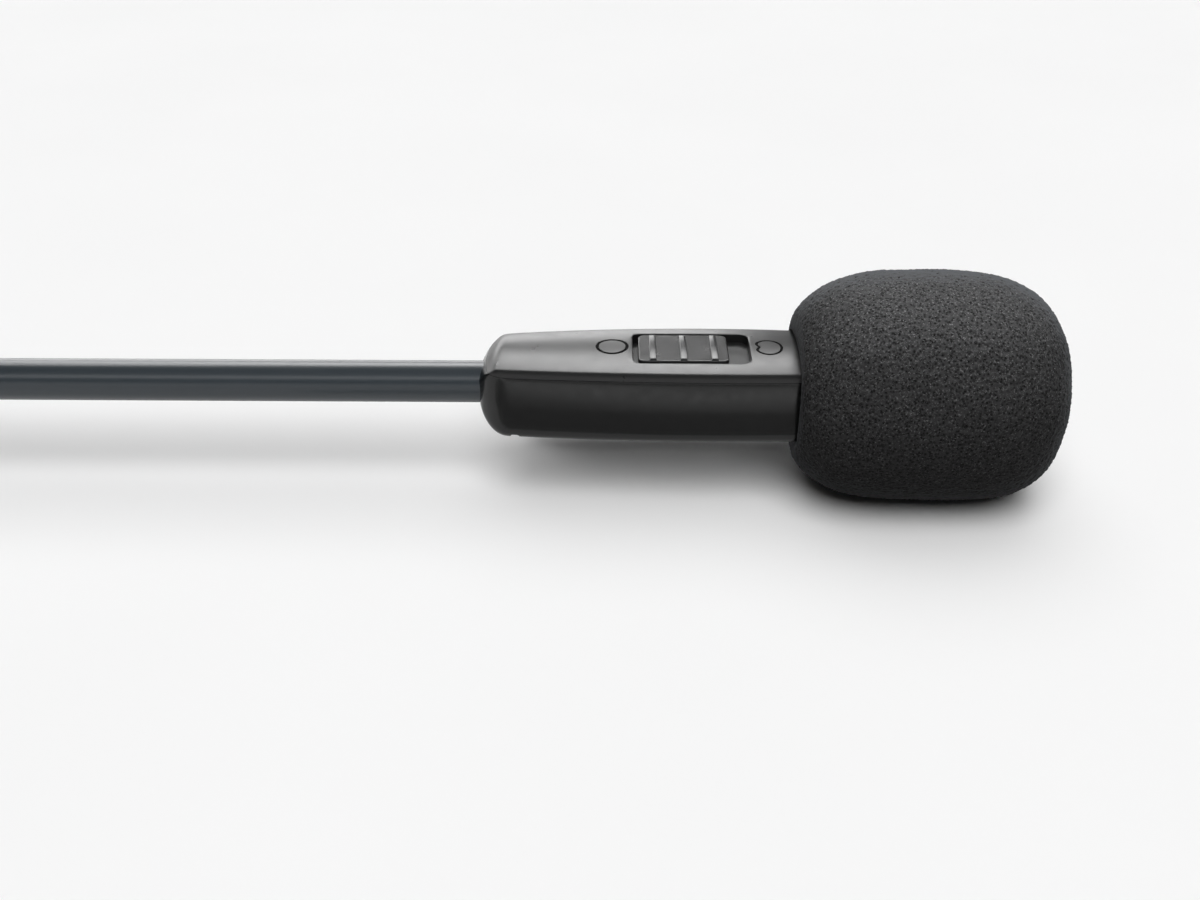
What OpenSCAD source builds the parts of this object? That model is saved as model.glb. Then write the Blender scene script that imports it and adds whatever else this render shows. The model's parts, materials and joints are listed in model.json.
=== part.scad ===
// Gooseneck microphone: a three-pin plug base, a flexible neck, and a switched head in a foam
// windscreen. It lies along X, with the plug's free end at the origin and the windscreen at +X.
// The polar pattern switch faces +Z.

/* [Plug base] */
// Outside diameter of the plug shell that enters the socket
shell_d = 19; // [18.8:0.1:19.2]
// Wall of the plug shell
shell_wall = 1.4; // [1.2:0.1:1.5]
// Length of shell that enters the socket
shell_reach = 15; // [14:0.5:17]
// Length of the grip collar behind the shell
collar_len = 7; // [6:0.5:9]
// Diameter of the barrel that holds the preamplifier
barrel_d = 19.8; // [19.6:0.1:20.4]
// Length of the barrel
barrel_len = 38; // [38:1:46]
// Length of the tapered cap outside the barrel
cap_len = 13; // [11:1:18]
// Length of the rubber strain relief
boot_len = 13; // [10:1:16]
// Diameter of a contact pin
contact_d = 2.4; // [2.2:0.1:2.5]

/* [Neck] */
// Outside diameter of the neck's sleeve
neck_d = 6; // [5.8:0.1:6.2]
// Wall of the sleeve
sleeve_wall = 0.5; // [0.4:0.05:0.6]
// Diameter of the coil inside the sleeve
coil_d = 4.2; // [4:0.1:4.4]
// Diameter of the cable inside the coil
cable_d = 1.7; // [1.4:0.1:1.8]
// Length between two bending points
link_pitch = 8.6; // [8:0.1:9.5]
// Number of coil links that move
link_count = 19; // [19:1:19]

/* [Head] */
// Length of the housing, rear tip to front shoulder
head_len = 49.5; // [49:0.5:52]
// Half the width of the top face where it is widest
top_half_w = 7.02; // [6.9:0.02:7.2]
// Height of the top face's edge above the neck's axis
edge_z = 5.18; // [5.1:0.02:5.3]
// Rise of the top face from its edge to its middle
crown = 0.78; // [0.6:0.02:0.9]
// Depth of the housing below the neck's axis
belly = 6.15; // [5.9:0.05:6.4]
// Wall of the housing
wall = 1.2; // [1:0.1:1.3]

/* [Switch] */
// Travel of the polar pattern switch
switch_travel = 2.8; // [2:0.1:2.8]
// Length of the slide knob
knob_len = 12.6; // [12:0.1:12.6]
// Width of the slide knob
knob_w = 8; // [7.6:0.1:8]
// Length of the pocket that the knob slides in
pocket_len = 16.35; // [16.3:0.05:16.8]
// Width of the pocket
pocket_w = 9; // [8.8:0.1:9.2]

/* [Windscreen] */
// Diameter of the foam
foam_d = 33; // [32:0.2:36]
// Length of the foam
foam_len = 39; // [38.5:0.5:42]
// Length of housing that the foam covers
foam_overlap = 6.3; // [5:0.1:6.5]

/* [Hidden] */
fit_gap = 0.06;
loose_gap = 0.15;
round_fn = 64;

shell_r = shell_d / 2;
shell_bore_r = shell_r - shell_wall;
barrel_r = barrel_d / 2;
barrel_bore_r = barrel_r - 1.5;
barrel_x = shell_reach + collar_len;
cap_x = barrel_x + barrel_len;
boot_x = cap_x + cap_len;
neck_start = boot_x + boot_len;
insert_front = 12.5;
insert_back = 19;
contact_ring_r = 4.8;
contact_angles = [35, 145, 270];

neck_r = neck_d / 2;
neck_seat_r = neck_r + fit_gap;
sleeve_bore_r = neck_r - sleeve_wall;
coil_r = coil_d / 2;
cable_r = cable_d / 2;
coil_bore_r = 1.1;
coil_groove = 0.18;
ball_gap = 0.05;
first_hinge = neck_start + link_pitch / 2;
last_hinge = first_hinge + link_count * link_pitch;
coil_start = cap_x - 3;

rear_x = last_hinge + link_pitch / 2 + 1.8;
front_x = rear_x + head_len;
widest_x = rear_x + 32.9;
tallest_x = rear_x + 27.9;
nose_steps = [0, 0.12, 0.4, 0.85, 1.4, 2.1, 3.05, 3.9, 4.8];
crease_d = 3.05;
bevel_out = 0.5;
bevel_drop = 0.68;
side_bulge = 0.18;
parting_z = edge_z - bevel_drop - 0.05;
neck_end_x = rear_x + 8;
cable_end_x = neck_end_x + 1.2;

pocket_x = rear_x + 21.8;
pocket_floor = 4.15;
pocket_corner = 1.3;
knob_x = pocket_x + 0.76;
knob_mid = knob_x + knob_len / 2;
knob_top = 5.5;
rib_w = 0.96;
rib_pitch = 4.28;
rib_rise = 0.42;
icon_r = 2.1;
icon_line = 0.24;
icon_depth = 0.14;
omni_x = rear_x + 18.9;
cardioid_x = rear_x + 40.8;

switch_mid = knob_mid + switch_travel / 2;
board_z = -0.6;
board_t = 1;
board_x0 = rear_x + 14;
board_x1 = rear_x + 39;
tongue_z = 3;
boss_r = 1.6;
boss_bottom = wall + 0.2 - belly;
boss_xs = [rear_x + 11.2, rear_x + 42.4];
carrier_r = 5.38;
capsule_r = 4.85;
grille_r = 5.8;
grille_wall = 0.35;
grille_end = front_x + 15.5;
front_capsule_x = front_x + 11;
rear_capsule_x = front_x + 4;
capsule_len = 4;

foam_x = front_x - foam_overlap;
foam_drop = 0.45;
lip_depth = 2.2;
foam_bore_r = 6.2;
foam_bore_end = grille_end + 6.5;

function link_name(i) = str("coil_link_", i < 10 ? "0" : "", i);
function hinge_x(i) = first_hinge + (i - 1) * link_pitch;

// A round bar along X, at an offset from the neck's axis.
module rod(x0, x1, r, y = 0, z = 0) {
    translate([x0, y, z])
        rotate([0, 90, 0])
            cylinder(h = x1 - x0, r = r, $fn = round_fn);
}

// A round tube along X.
module tube(x0, x1, r, bore) {
    difference() {
        rod(x0, x1, r);
        rod(x0 - 1, x1 + 1, bore);
    }
}

// A solid of revolution about X, from [radius, x] points.
module turned(points) {
    rotate([0, 90, 0])
        rotate_extrude($fn = 96)
            polygon(points);
}

// A block given by its lowest and highest corners.
module block(low, high) {
    translate(low)
        cube(high - low);
}

// A plate with rounded corners, lying in XY.
module rounded_plate(x0, x1, half_w, z0, z1, corner) {
    translate([0, 0, z0])
        linear_extrude(z1 - z0)
            union() {
                translate([x0 + corner, -half_w])
                    square([x1 - x0 - 2 * corner, 2 * half_w]);
                translate([x0, corner - half_w])
                    square([x1 - x0, 2 * (half_w - corner)]);
                for (x = [x0 + corner, x1 - corner], y = [corner - half_w, half_w - corner])
                    translate([x, y])
                        circle(r = corner, $fn = 32);
            }
}

// ---------- Plug base ----------

module plug_shell() {
    key_w = 2.2;
    window = 3.2;
    color("#8d9094")
    difference() {
        turned([
            [shell_bore_r, 0.5], [shell_bore_r + 0.4, 0], [shell_r, 0], [shell_r, shell_reach],
            [barrel_r + 0.5, shell_reach], [barrel_r + 0.9, shell_reach + 0.4],
            [barrel_r + 0.9, barrel_x - 1.4], [barrel_r, barrel_x - 1], [barrel_r, barrel_x],
            [shell_bore_r, barrel_x]
        ]);
        block([-1, -key_w / 2, -shell_bore_r - 0.6], [insert_front, key_w / 2, -shell_bore_r + 1]);
        block([8.6, -window / 2, shell_bore_r - 1], [8.6 + window, window / 2, shell_r + 1]);
        for (i = [0:23])
            rotate([15 * i, 0, 0])
                translate([shell_reach + 1.2, 0, barrel_r + 1.15])
                    rotate([0, 90, 0])
                        cylinder(h = 3.6, r = 0.55, $fn = 24);
        translate([barrel_x - 4, 0, 0])
            rotate([180, 0, 0])
                cylinder(h = barrel_r + 2, r = 1.05, $fn = 32);
    }
}

module plug_insert() {
    color("#1c1d1f")
    difference() {
        rod(insert_front, insert_back, shell_bore_r - fit_gap);
        for (a = contact_angles)
            rotate([a, 0, 0])
                rod(insert_front - 1, insert_back + 1, contact_d / 2 + fit_gap, contact_ring_r);
        translate([barrel_x - 4, 0, -shell_bore_r - 1])
            cylinder(h = 2.2, r = 1.1, $fn = 32);
    }
}

module contact_pins() {
    pin_r = contact_d / 2;
    color("#c9b37a")
    for (a = contact_angles)
        rotate([a, 0, 0])
            translate([0, contact_ring_r, 0])
                turned([
                    [0, 1.5], [pin_r - 0.6, 1.5], [pin_r, 2.4], [pin_r, insert_back + 1],
                    [pin_r - 0.35, insert_back + 1], [pin_r - 0.35, insert_back + 4],
                    [0, insert_back + 4]
                ]);
}

module plug_set_screw() {
    color("#6c6f73")
    difference() {
        translate([barrel_x - 4, 0, -barrel_r - 0.6])
            cylinder(h = barrel_r + 0.6 - shell_bore_r + 1, r = 0.98, $fn = 32);
        translate([barrel_x - 4.9, -0.18, -barrel_r - 1])
            cube([1.8, 0.36, 1]);
    }
}

module base_barrel() {
    ring_xs = [barrel_x + 3, cap_x - 3];
    groove = 0.25;
    color("#25272a")
    difference() {
        tube(barrel_x, cap_x, barrel_r, barrel_bore_r);
        for (x = ring_xs)
            difference() {
                rod(x, x + 0.7, barrel_r + 1);
                rod(x - 1, x + 2, barrel_r - groove);
            }
    }
}

module barrel_seal() {
    color("#111213")
    translate([cap_x - 2.2, 0, 0])
        rotate([0, 90, 0])
            rotate_extrude($fn = 96)
                translate([barrel_bore_r - 0.52, 0])
                    circle(r = 0.46, $fn = 24);
}

module preamp_board() {
    color("#1f5a3c")
    difference() {
        block([barrel_x + 4, -7, -0.8], [cap_x - 7.5, 7, 0.8]);
        for (x = [barrel_x + 6.5, cap_x - 10], y = [-5.4, 5.4])
            translate([x, y, -2])
                cylinder(h = 4, r = 0.8, $fn = 24);
    }
}

module preamp_components() {
    mid = barrel_x + 16;
    color("#2c2c2e") {
        block([mid - 4, -2, 0.8], [mid + 1, 2, 2.4]);
        block([mid + 6, -3.2, 0.8], [mid + 8, 3.2, 1.8]);
    }
    color("#3b5170")
    for (y = [-4.4, 4.4])
        translate([mid - 7.5, y, 0.8])
            cylinder(h = 4, r = 1.6, $fn = 32);
    color("#8f8f8a")
    rod(mid - 3, mid + 5, 2.2, 0, -3.1);
}

module base_wires() {
    color("#7a2d28")
    for (a = [35, 145])
        rotate([a, 0, 0])
            rod(insert_back + 4, insert_back + 9, 0.5, contact_ring_r);
    color("#d7d2c4")
    rotate([270, 0, 0])
        rod(insert_back + 4, insert_back + 9, 0.5, contact_ring_r);
    color("#d7d2c4")
    for (y = [-2, 0, 2])
        rod(cap_x - 7.5, cap_x - 3, 0.45, y, 0);
}

module barrel_cap() {
    spigot = 5;
    inner_r = 4.9;
    groove_r = barrel_bore_r - 0.98;
    color("#25272a")
    turned([
        [inner_r, cap_x - spigot], [barrel_bore_r - fit_gap, cap_x - spigot],
        [barrel_bore_r - fit_gap, cap_x - 2.8], [groove_r, cap_x - 2.8],
        [groove_r, cap_x - 1.6], [barrel_bore_r - fit_gap, cap_x - 1.6],
        [barrel_bore_r - fit_gap, cap_x], [barrel_r - 0.3, cap_x], [barrel_r, cap_x + 0.3],
        [barrel_r, cap_x + 3], [barrel_r - 0.5, cap_x + 4.2],
        [5.6, boot_x - 0.8], [5.2, boot_x], [neck_seat_r, boot_x], [neck_seat_r, cap_x + 3],
        [inner_r, cap_x + 3]
    ]);
}

module strain_relief() {
    ring_count = 4;
    step = boot_len / ring_count;
    function boot_r(i) = 4.9 - 0.28 * i;
    color("#161718")
    turned(concat(
        [[neck_seat_r, boot_x]],
        [for (i = [0:ring_count - 1], p = [[0, 0], [0.1, 0.62 * step], [0.75, 0.7 * step], [0.75, 0.95 * step]])
            [boot_r(i) - p[0], boot_x + i * step + p[1]]],
        [[neck_seat_r + 0.5, neck_start], [neck_seat_r, neck_start]]
    ));
}

module base_ferrule() {
    color("#b08d4a")
    turned([
        [neck_seat_r, cap_x - 3], [4.8, cap_x - 3], [4.8, cap_x - 1], [4.2, cap_x - 0.6],
        [4.2, cap_x + 2.6], [neck_seat_r, cap_x + 2.6]
    ]);
}

// ---------- Neck ----------

// Outer edge of a wound coil from x0 to x1, as [radius, x] points.
function coil_edge(x0, x1) =
    let (turns = max(1, round((x1 - x0) / 0.9)), step = (x1 - x0) / turns)
    [for (i = [0:turns - 1], p = [[coil_groove, 0], [0, 0.28], [0, 0.72]])
        [coil_r - p[0], x0 + (i + p[1]) * step]];

// A length of coil, with a ball end at x1 and a socket at x0 where wanted.
module coil_length(x0, x1, ball, socket) {
    start = socket ? x0 + 0.5 : x0;
    difference() {
        union() {
            turned(concat([[0, start]], coil_edge(start, x1 - 0.3), [[coil_r, x1], [0, x1]]));
            if (ball)
                translate([x1, 0, 0])
                    sphere(r = coil_r, $fn = 48);
        }
        if (socket)
            translate([x0, 0, 0])
                sphere(r = coil_r + ball_gap, $fn = 48);
        rod(x0 - 1, x1 + coil_r + 1, coil_bore_r);
    }
}

module coil_base_end() {
    color("#9a9da1")
    coil_length(coil_start, first_hinge, true, false);
}

module coil_link(i) {
    color(i % 2 == 0 ? "#9a9da1" : "#85888c")
    coil_length(hinge_x(i), hinge_x(i + 1), true, true);
}

module coil_head_end() {
    color("#9a9da1")
    coil_length(last_hinge, neck_end_x, false, true);
}

module neck_sleeve() {
    color("#46515a")
    tube(coil_start, neck_end_x, neck_r, sleeve_bore_r);
}

module neck_cable() {
    color("#1a1a1c")
    rod(cap_x - 2.8, cable_end_x, cable_r);
}

// ---------- Head housing ----------

function half_w(x) = top_half_w - 0.00176 * pow(x - widest_x, 2);
function top_edge_z(x) = edge_z - 0.00037 * pow(x - tallest_x, 2);

// Share of its full size that the section has at a distance d from the rear tip: rounded off over
// a length, down to the least share at the tip.
function rounding(d, length, least) =
    d >= length ? 1 : least + (1 - least) * sqrt(1 - pow(1 - d / length, 2));
function nose_y(d) = rounding(d, 4.7, 0.225);
function nose_bottom(d) = rounding(d, 3.95, 0.12);
function nose_top(d) = d >= crease_d ? 1 : rounding(d, 7.5, 0.05) / rounding(crease_d, 7.5, 0.05);

// Right half of the housing's section, from the middle of its top to the middle of its belly.
function half_section(x, grow) =
    let (w = half_w(x) + grow, h = top_edge_z(x) + grow, full = w + bevel_out + side_bulge)
    concat(
        [for (t = [0:0.25:1]) [w * t, h + crown * (1 - t * t)]],
        [[w + bevel_out, h - bevel_drop]],
        [for (a = [0.05, 0.6, 3, 9, 20, 32, 45, 58, 70, 81, 87, 89.4])
            [full * pow(cos(a), 0.25), 0.2 - (0.2 + belly + grow) * pow(sin(a), 0.25)]],
        [[0, -belly - grow]]
    );

// The whole section, closed, with the nose's rounding applied.
function section(x, grow) =
    let (half = half_section(x, grow), last = len(half) - 1, d = x - rear_x)
    [for (p = concat(half, [for (i = [last - 1:-1:1]) [-half[i][0], half[i][1]]]))
        [p[0] * nose_y(d), p[1] * (p[1] > 0 ? nose_top(d) : nose_bottom(d))]];

module section_slice(x, grow, thick = 0.02) {
    translate([x, 0, 0])
        rotate([90, 0, 90])
            linear_extrude(thick)
                polygon(section(x, grow));
}

// The housing's outer form, or with a negative grow the room inside it.
module housing_form(x0, x1, grow) {
    body_steps = 6;
    nose_end = rear_x + 4.8;
    hull() {
        section_slice(x0, grow);
        for (d = nose_steps)
            if (rear_x + d > x0)
                section_slice(rear_x + d, grow);
        for (i = [1:body_steps])
            section_slice(nose_end + i * (x1 - nose_end - 0.02) / body_steps, grow);
    }
}

// A ring cut into the crowned top face, for the non-directional pattern.
module ring_icon(x) {
    translate([x, 0, edge_z + crown - icon_depth])
        difference() {
            cylinder(h = 1, r = icon_r + icon_line / 2, $fn = 48);
            translate([0, 0, -1])
                cylinder(h = 3, r = icon_r - icon_line / 2, $fn = 48);
        }
}

module heart_outline(size) {
    polygon([for (a = [0:8:359])
        let (r = size * (1 + cos(a)) / 2 + size * 0.22)
        [r * cos(a) - size * 0.42, r * sin(a) * 1.12]]);
}

// A heart-shaped line, for the one-sided pattern.
module heart_icon(x) {
    translate([x, 0, edge_z + crown - icon_depth])
        linear_extrude(1)
            difference() {
                heart_outline(2.6);
                heart_outline(2.6 - icon_line * 1.4);
            }
}

module screw_clearance(x, r, z0, z1) {
    translate([x, 0, z0])
        cylinder(h = z1 - z0, r = r, $fn = 32);
}

module top_cover() {
    slot_half = 1.7;
    color("#3d3f42")
    difference() {
        union() {
            intersection() {
                housing_form(rear_x, front_x, 0);
                block([rear_x - 1, -9, parting_z], [front_x + 1, 9, 9]);
            }
            block([rear_x + 9, -4.9, tongue_z], [front_x - 1.5, 4.9, parting_z]);
            for (x = boss_xs)
                screw_clearance(x, boss_r, boss_bottom, tongue_z + 0.1);
        }
        rounded_plate(
            pocket_x, pocket_x + pocket_len, pocket_w / 2, pocket_floor, 9, pocket_corner);
        block(
            [knob_mid - 2 - 0.25, -slot_half, tongue_z - 1],
            [knob_mid + 2 + switch_travel + 0.25, slot_half, pocket_floor + 1]);
        for (x = boss_xs)
            screw_clearance(x, 0.75, boss_bottom - 1, 1);
        rod(front_x - 4, front_x + 1, 4.55);
        ring_icon(omni_x);
        heart_icon(cardioid_x);
    }
}

module housing_body() {
    color("#2b2c2e")
    difference() {
        intersection() {
            housing_form(rear_x, front_x, 0);
            block([rear_x - 1, -9, -9], [front_x + 1, 9, parting_z]);
        }
        housing_form(rear_x + 2.4, front_x - wall, -wall);
        block(
            [rear_x + 9 - fit_gap, -4.9 - fit_gap, tongue_z - fit_gap],
            [front_x - 1.5 + fit_gap, 4.9 + fit_gap, 9]);
        rod(rear_x - 1, rear_x + 4, neck_seat_r);
        rod(front_x - 4, front_x + 1, 4.55);
        for (x = boss_xs) {
            screw_clearance(x, 0.8, -9, -3);
            screw_clearance(x, 1.6, -9, -belly + 0.9);
        }
        block([rear_x + 4.8, -8, -9], [rear_x + 8.2, 8, -belly + 0.3]);
        block([rear_x + 4.8, -8, -9], [rear_x + 5.9, 8, -belly + 0.65]);
    }
}

module housing_screws() {
    head_z = -belly + 0.9;
    color("#55585c")
    for (x = boss_xs)
        difference() {
            union() {
                screw_clearance(x, 1.5, head_z - 0.75, head_z);
                screw_clearance(x, 0.7, head_z - 0.1, 0.5);
            }
            for (turn = [0, 90])
                translate([x, 0, head_z - 0.75])
                    rotate([0, 0, turn])
                        cube([1.7, 0.32, 0.7], center = true);
        }
}

// ---------- Neck fixing in the head ----------

module head_ferrule() {
    color("#b08d4a")
    turned([
        [neck_seat_r, rear_x + 2.6], [3.9, rear_x + 2.6], [3.9, neck_end_x - 1],
        [4.1, neck_end_x - 0.8], [4.1, neck_end_x + 0.2], [neck_seat_r, neck_end_x + 0.2]
    ]);
}

module neck_clamp() {
    color("#777a7e")
    difference() {
        block([rear_x + 3.6, -4.6, -2.8], [neck_end_x - 1.4, 4.6, 2.8]);
        rod(rear_x, neck_end_x + 1, 3.9 + fit_gap);
    }
}

// ---------- Polar pattern switch ----------

// The knob: a plate with a stepped bevel, three cross ribs, and a stem with a socket below.
module slide_knob() {
    bevel = 0.35;
    color("#6c6e71")
    difference() {
        union() {
            rounded_plate(knob_x, knob_x + knob_len, knob_w / 2, 4.3, knob_top - bevel, 0.7);
            rounded_plate(
                knob_x + bevel, knob_x + knob_len - bevel,
                knob_w / 2 - bevel, 4.3, knob_top, 0.6);
            for (i = [-1:1])
                block(
                    [knob_mid + i * rib_pitch - rib_w / 2, -knob_w / 2 + bevel, 4.6],
                    [knob_mid + i * rib_pitch + rib_w / 2, knob_w / 2 - bevel, knob_top + rib_rise]);
            block([knob_mid - 2, -1.5, 3.4], [knob_mid + 2, 1.5, 4.6]);
        }
        block([knob_mid - 1.26, -0.8, 3], [knob_mid + 1.26, 0.8, 4.7]);
    }
}

module switch_actuator() {
    color("#101113")
    union() {
        block([knob_mid - 1.2, -0.74, 1.9], [knob_mid + 1.2, 0.74, 4.6]);
        block([knob_mid - 2.4, -2, 1.75], [knob_mid + 2.4, 2, 2.3]);
    }
}

module switch_wiper() {
    color("#c9a560")
    for (y = [-1.3, 1.3])
        block([knob_mid - 2.1, y - 0.3, 1.35], [knob_mid + 2.1, y + 0.3, 1.75]);
}

module switch_frame() {
    half_len = 5.5;
    sheet = 0.3;
    color("#a4a7ab")
    difference() {
        block([switch_mid - half_len, -2.9, 1.2], [switch_mid + half_len, 2.9, 2.9]);
        block(
            [switch_mid - half_len + sheet, -2.9 + sheet, 1],
            [switch_mid + half_len - sheet, 2.9 - sheet, 2.9 - sheet]);
        block([switch_mid - 2.9, -0.9, 2], [switch_mid + 2.9, 0.9, 4]);
    }
}

module switch_base() {
    color("#5c3f28")
    difference() {
        block([switch_mid - 5.5, -2.9, board_z + board_t], [switch_mid + 5.5, 2.9, 1.2]);
        terminal_holes(0.32);
    }
}

// The six solder pins' places under the switch, drawn as round bars of the radius wanted.
module terminal_holes(r) {
    for (x = [-3, 0, 3], y = [-1.3, 1.3])
        translate([switch_mid + x, y, -1.8])
            cylinder(h = 3.04, r = r, $fn = 24);
}

module switch_terminals() {
    color("#c9a560")
    terminal_holes(0.26);
}

module circuit_board() {
    color("#1f5a3c")
    difference() {
        block([board_x0, -4.5, board_z], [board_x1, 4.5, board_z + board_t]);
        terminal_holes(0.32);
    }
}

module board_components() {
    z0 = board_z + board_t;
    color("#2c2c2e") {
        block([board_x0 + 1, -2.2, z0], [board_x0 + 4, 2.2, z0 + 1.2]);
        block([board_x0 + 4.5, -1.6, board_z - 1.2], [board_x0 + 8.5, 1.6, board_z]);
    }
    color("#b39c72")
    for (x = [2, 5, 8, 22], y = [-3.2, 3.2])
        block([board_x0 + x, y - 0.5, board_z - 0.7], [board_x0 + x + 1.6, y + 0.5, board_z]);
    color("#8f8f8a")
    translate([board_x0 + 11, 0, board_z - 2.6])
        cylinder(h = 2.6, r = 1.5, $fn = 32);
}

// ---------- Capsules and grille ----------

module capsule_carrier() {
    window = [2.4, 3];
    color("#2a2b2d")
    difference() {
        union() {
            rod(front_x, front_x + 1.4, carrier_r);
            rod(front_x - 3, front_x, 4.5);
            rod(front_x + 1.4, grille_end - 0.4, carrier_r);
        }
        rod(front_x - 4, rear_capsule_x - 0.3, 3.6);
        rod(rear_capsule_x - 0.4, grille_end, capsule_r + fit_gap);
        for (a = [0:60:300])
            rotate([a + 30, 0, 0])
                block(
                    [rear_capsule_x + capsule_len, -window[0] / 2, 0],
                    [rear_capsule_x + capsule_len + window[1], window[0] / 2, 9]);
    }
}

// An electret capsule: a can with a ring of ports in its face, which looks along dir.
module capsule(x0, dir) {
    face = dir > 0 ? x0 + capsule_len : x0;
    difference() {
        rod(x0, x0 + capsule_len, capsule_r);
        for (a = [0:60:300])
            rotate([a, 0, 0])
                rod(face - 0.5, face + 0.5, 0.5, 2.4);
        rod(face - 0.5, face + 0.5, 0.5);
    }
}

module front_capsule() {
    color("#b9bbbe")
    capsule(front_capsule_x, 1);
}

module rear_capsule() {
    color("#b9bbbe")
    capsule(rear_capsule_x, -1);
}

module acoustic_felt() {
    color("#3a3a3c")
    rod(front_capsule_x + capsule_len + 0.1, grille_end - 0.3, capsule_r - 0.2);
}

module head_wires() {
    color("#7a2d28")
    for (y = [-2.2, 2.2])
        rod(cable_end_x, board_x0, 0.35, y, 0);
    color("#7a2d28")
    for (y = [-2.4, 2.4])
        rod(board_x1, rear_capsule_x - 0.05, 0.35, y, 0);
    color("#d7d2c4")
    for (y = [-1, 1])
        rod(rear_capsule_x + capsule_len, front_capsule_x, 0.35, y, 0);
}

module grille_basket() {
    slot_w = 1.5;
    slot_len = 3.4;
    rows = 3;
    columns = 10;
    color("#4a4d50")
    difference() {
        tube(front_x, grille_end, grille_r, grille_r - grille_wall);
        for (row = [0:rows - 1], col = [0:columns - 1])
            rotate([(col + row % 2 / 2) * 360 / columns, 0, 0])
                block(
                    [front_x + 2.2 + row * 4.3, -slot_w / 2, 0],
                    [front_x + 2.2 + row * 4.3 + slot_len, slot_w / 2, grille_r + 1]);
    }
}

module grille_cap() {
    dome_h = 5.2;
    outer_n = 10;
    bore = grille_r - grille_wall;
    color("#4a4d50")
    difference() {
        turned(concat(
            [[0, grille_end]],
            [[grille_r, grille_end]],
            [for (a = [0:90 / outer_n:89]) [grille_r * cos(a), grille_end + 0.6 + dome_h * sin(a)]],
            [[0, grille_end + 0.6 + dome_h]]
        ));
        turned(concat(
            [[0, grille_end - 1], [bore, grille_end - 1]],
            [for (a = [0:90 / outer_n:89]) [bore * cos(a), grille_end + 0.6 + (dome_h - 0.4) * sin(a)]],
            [[0, grille_end + 0.2 + dome_h]]
        ));
        for (ring = [[0, 1], [1.9, 6], [3.7, 12]], i = [0:ring[1] - 1])
            rotate([i * 360 / ring[1], 0, 0])
                rod(grille_end + 1.5, grille_end + 9, 0.55, ring[0]);
    }
}

// ---------- Windscreen ----------

// A quarter of the foam's outline: superellipse of the given power, out to the given reach.
function foam_quarter(mid, reach, power, dir) =
    [for (i = [0:14])
        let (a = dir > 0 ? i * 90 / 14 : 90 - i * 90 / 14)
        [max(0, foam_d / 2 * pow(cos(a), 2 / power)), mid + dir * reach * pow(sin(a), 2 / power)]];

module foam_windscreen() {
    mid = foam_x + foam_len / 2;
    hug = 0.15;
    mouth = foam_x + foam_overlap + 0.3;
    color("#1d1e20")
    difference() {
        translate([0, 0, -foam_drop])
            turned(concat(
                foam_quarter(mid, foam_len / 2, 3.1, -1),
                foam_quarter(mid, foam_len / 2, 3, 1)
            ));
        turned([[0, foam_x - 1], [13, foam_x - 1], [11.4, foam_x], [8.6, foam_x + lip_depth],
            [0, foam_x + lip_depth]]);
        section_slice(foam_x - 1, hug, mouth - foam_x + 1);
        rod(foam_x, foam_bore_end, foam_bore_r);
    }
}

plug_shell();
plug_insert();
contact_pins();
plug_set_screw();
base_barrel();
barrel_seal();
preamp_board();
preamp_components();
base_wires();
barrel_cap();
strain_relief();
base_ferrule();
coil_base_end();
neck_sleeve();
neck_cable();
for (i = [1:link_count])
    coil_link(i);
coil_head_end();
head_ferrule();
neck_clamp();
top_cover();
housing_body();
housing_screws();
slide_knob();
switch_actuator();
switch_wiper();
switch_frame();
switch_base();
switch_terminals();
circuit_board();
board_components();
capsule_carrier();
front_capsule();
rear_capsule();
acoustic_felt();
head_wires();
grille_basket();
grille_cap();
foam_windscreen();
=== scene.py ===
"""Looks of the gooseneck microphone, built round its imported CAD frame. Lengths in the code are in millimetres
until a mesh is made, when they are scaled to metres."""

import json
import math

import bmesh
import bpy
import numpy as np
from mathutils import Matrix, Vector, noise

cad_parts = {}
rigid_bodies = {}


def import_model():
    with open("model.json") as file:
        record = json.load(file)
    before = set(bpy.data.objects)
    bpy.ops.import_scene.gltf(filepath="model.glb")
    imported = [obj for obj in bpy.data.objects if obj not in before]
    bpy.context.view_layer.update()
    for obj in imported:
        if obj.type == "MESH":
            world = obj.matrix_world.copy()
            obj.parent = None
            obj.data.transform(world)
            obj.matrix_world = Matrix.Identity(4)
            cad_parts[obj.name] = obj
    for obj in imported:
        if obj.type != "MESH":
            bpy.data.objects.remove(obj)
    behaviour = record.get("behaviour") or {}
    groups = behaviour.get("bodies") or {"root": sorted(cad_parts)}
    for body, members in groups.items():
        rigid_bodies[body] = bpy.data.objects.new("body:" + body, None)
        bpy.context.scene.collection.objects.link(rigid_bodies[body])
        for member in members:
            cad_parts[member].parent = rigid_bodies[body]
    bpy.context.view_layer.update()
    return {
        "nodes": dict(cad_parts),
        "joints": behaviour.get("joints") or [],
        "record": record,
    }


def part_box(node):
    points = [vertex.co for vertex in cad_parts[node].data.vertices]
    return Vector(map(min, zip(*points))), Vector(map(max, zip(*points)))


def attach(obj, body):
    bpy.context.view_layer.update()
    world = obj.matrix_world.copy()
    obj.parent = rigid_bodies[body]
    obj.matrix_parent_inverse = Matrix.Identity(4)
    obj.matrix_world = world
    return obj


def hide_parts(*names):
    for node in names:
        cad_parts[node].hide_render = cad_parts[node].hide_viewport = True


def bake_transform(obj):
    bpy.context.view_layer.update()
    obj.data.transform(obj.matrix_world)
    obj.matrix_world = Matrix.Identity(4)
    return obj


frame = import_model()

MM = 0.001
NODES = frame["nodes"]

# ---------- Places taken from the frame, in millimetres ----------


def box_mm(node):
    low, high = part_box(node)
    return np.array(low) / MM, np.array(high) / MM


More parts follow.
